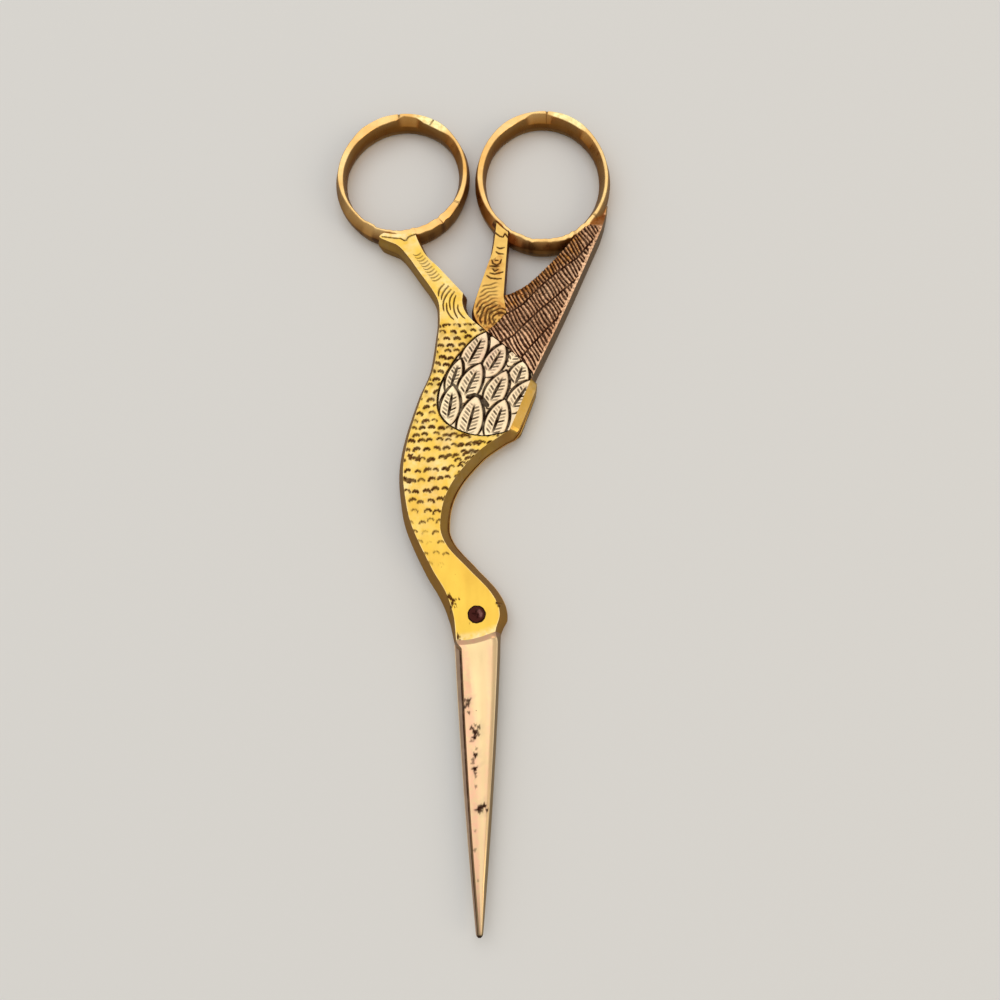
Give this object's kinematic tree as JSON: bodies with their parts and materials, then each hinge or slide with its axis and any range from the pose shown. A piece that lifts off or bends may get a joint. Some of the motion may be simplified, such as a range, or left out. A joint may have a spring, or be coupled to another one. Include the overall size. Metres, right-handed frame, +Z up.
{
  "type": "embroidery scissors",
  "caption": "Small bird-shaped embroidery scissors: engraved half-lapped handles with oval finger rings, slim pointed blades and a countersunk pivot rivet.",
  "frame": {"origin": "the pivot's axis, on the plane that the scissors lie on", "axes": "+Z up out of the engraved front face, +Y from the pivot towards the finger rings along the shut blades, +X towards the tail and the back half's ring"},
  "size_m": [0.041, 0.1159, 0.0036],
  "materials": {
    "gilt": "gold plate over steel, polished by hand, brown patina in the hollows",
    "bronze": "worn gold plate over steel with heavy brown patina",
    "silver": "bare polished steel with blackened engraving",
    "blade": "nickel plate, softly polished, with a few rust specks",
    "rivet": "dark oxidised steel, lightly domed"
  },
  "bodies": {
    "back": {"back_half": "bronze", "back_finger_ring": "gilt", "pivot_rivet": "rivet"},
    "front": {"front_half": "gilt", "front_finger_ring": "gilt"}
  },
  "joints": [
    {"name": "blade_pivot", "type": "hinge", "parent": "back", "child": "front", "pos_m": [0, 0, 0.0018], "axis": [0, 0, 1], "range_deg": [0, 70]}
  ]
}
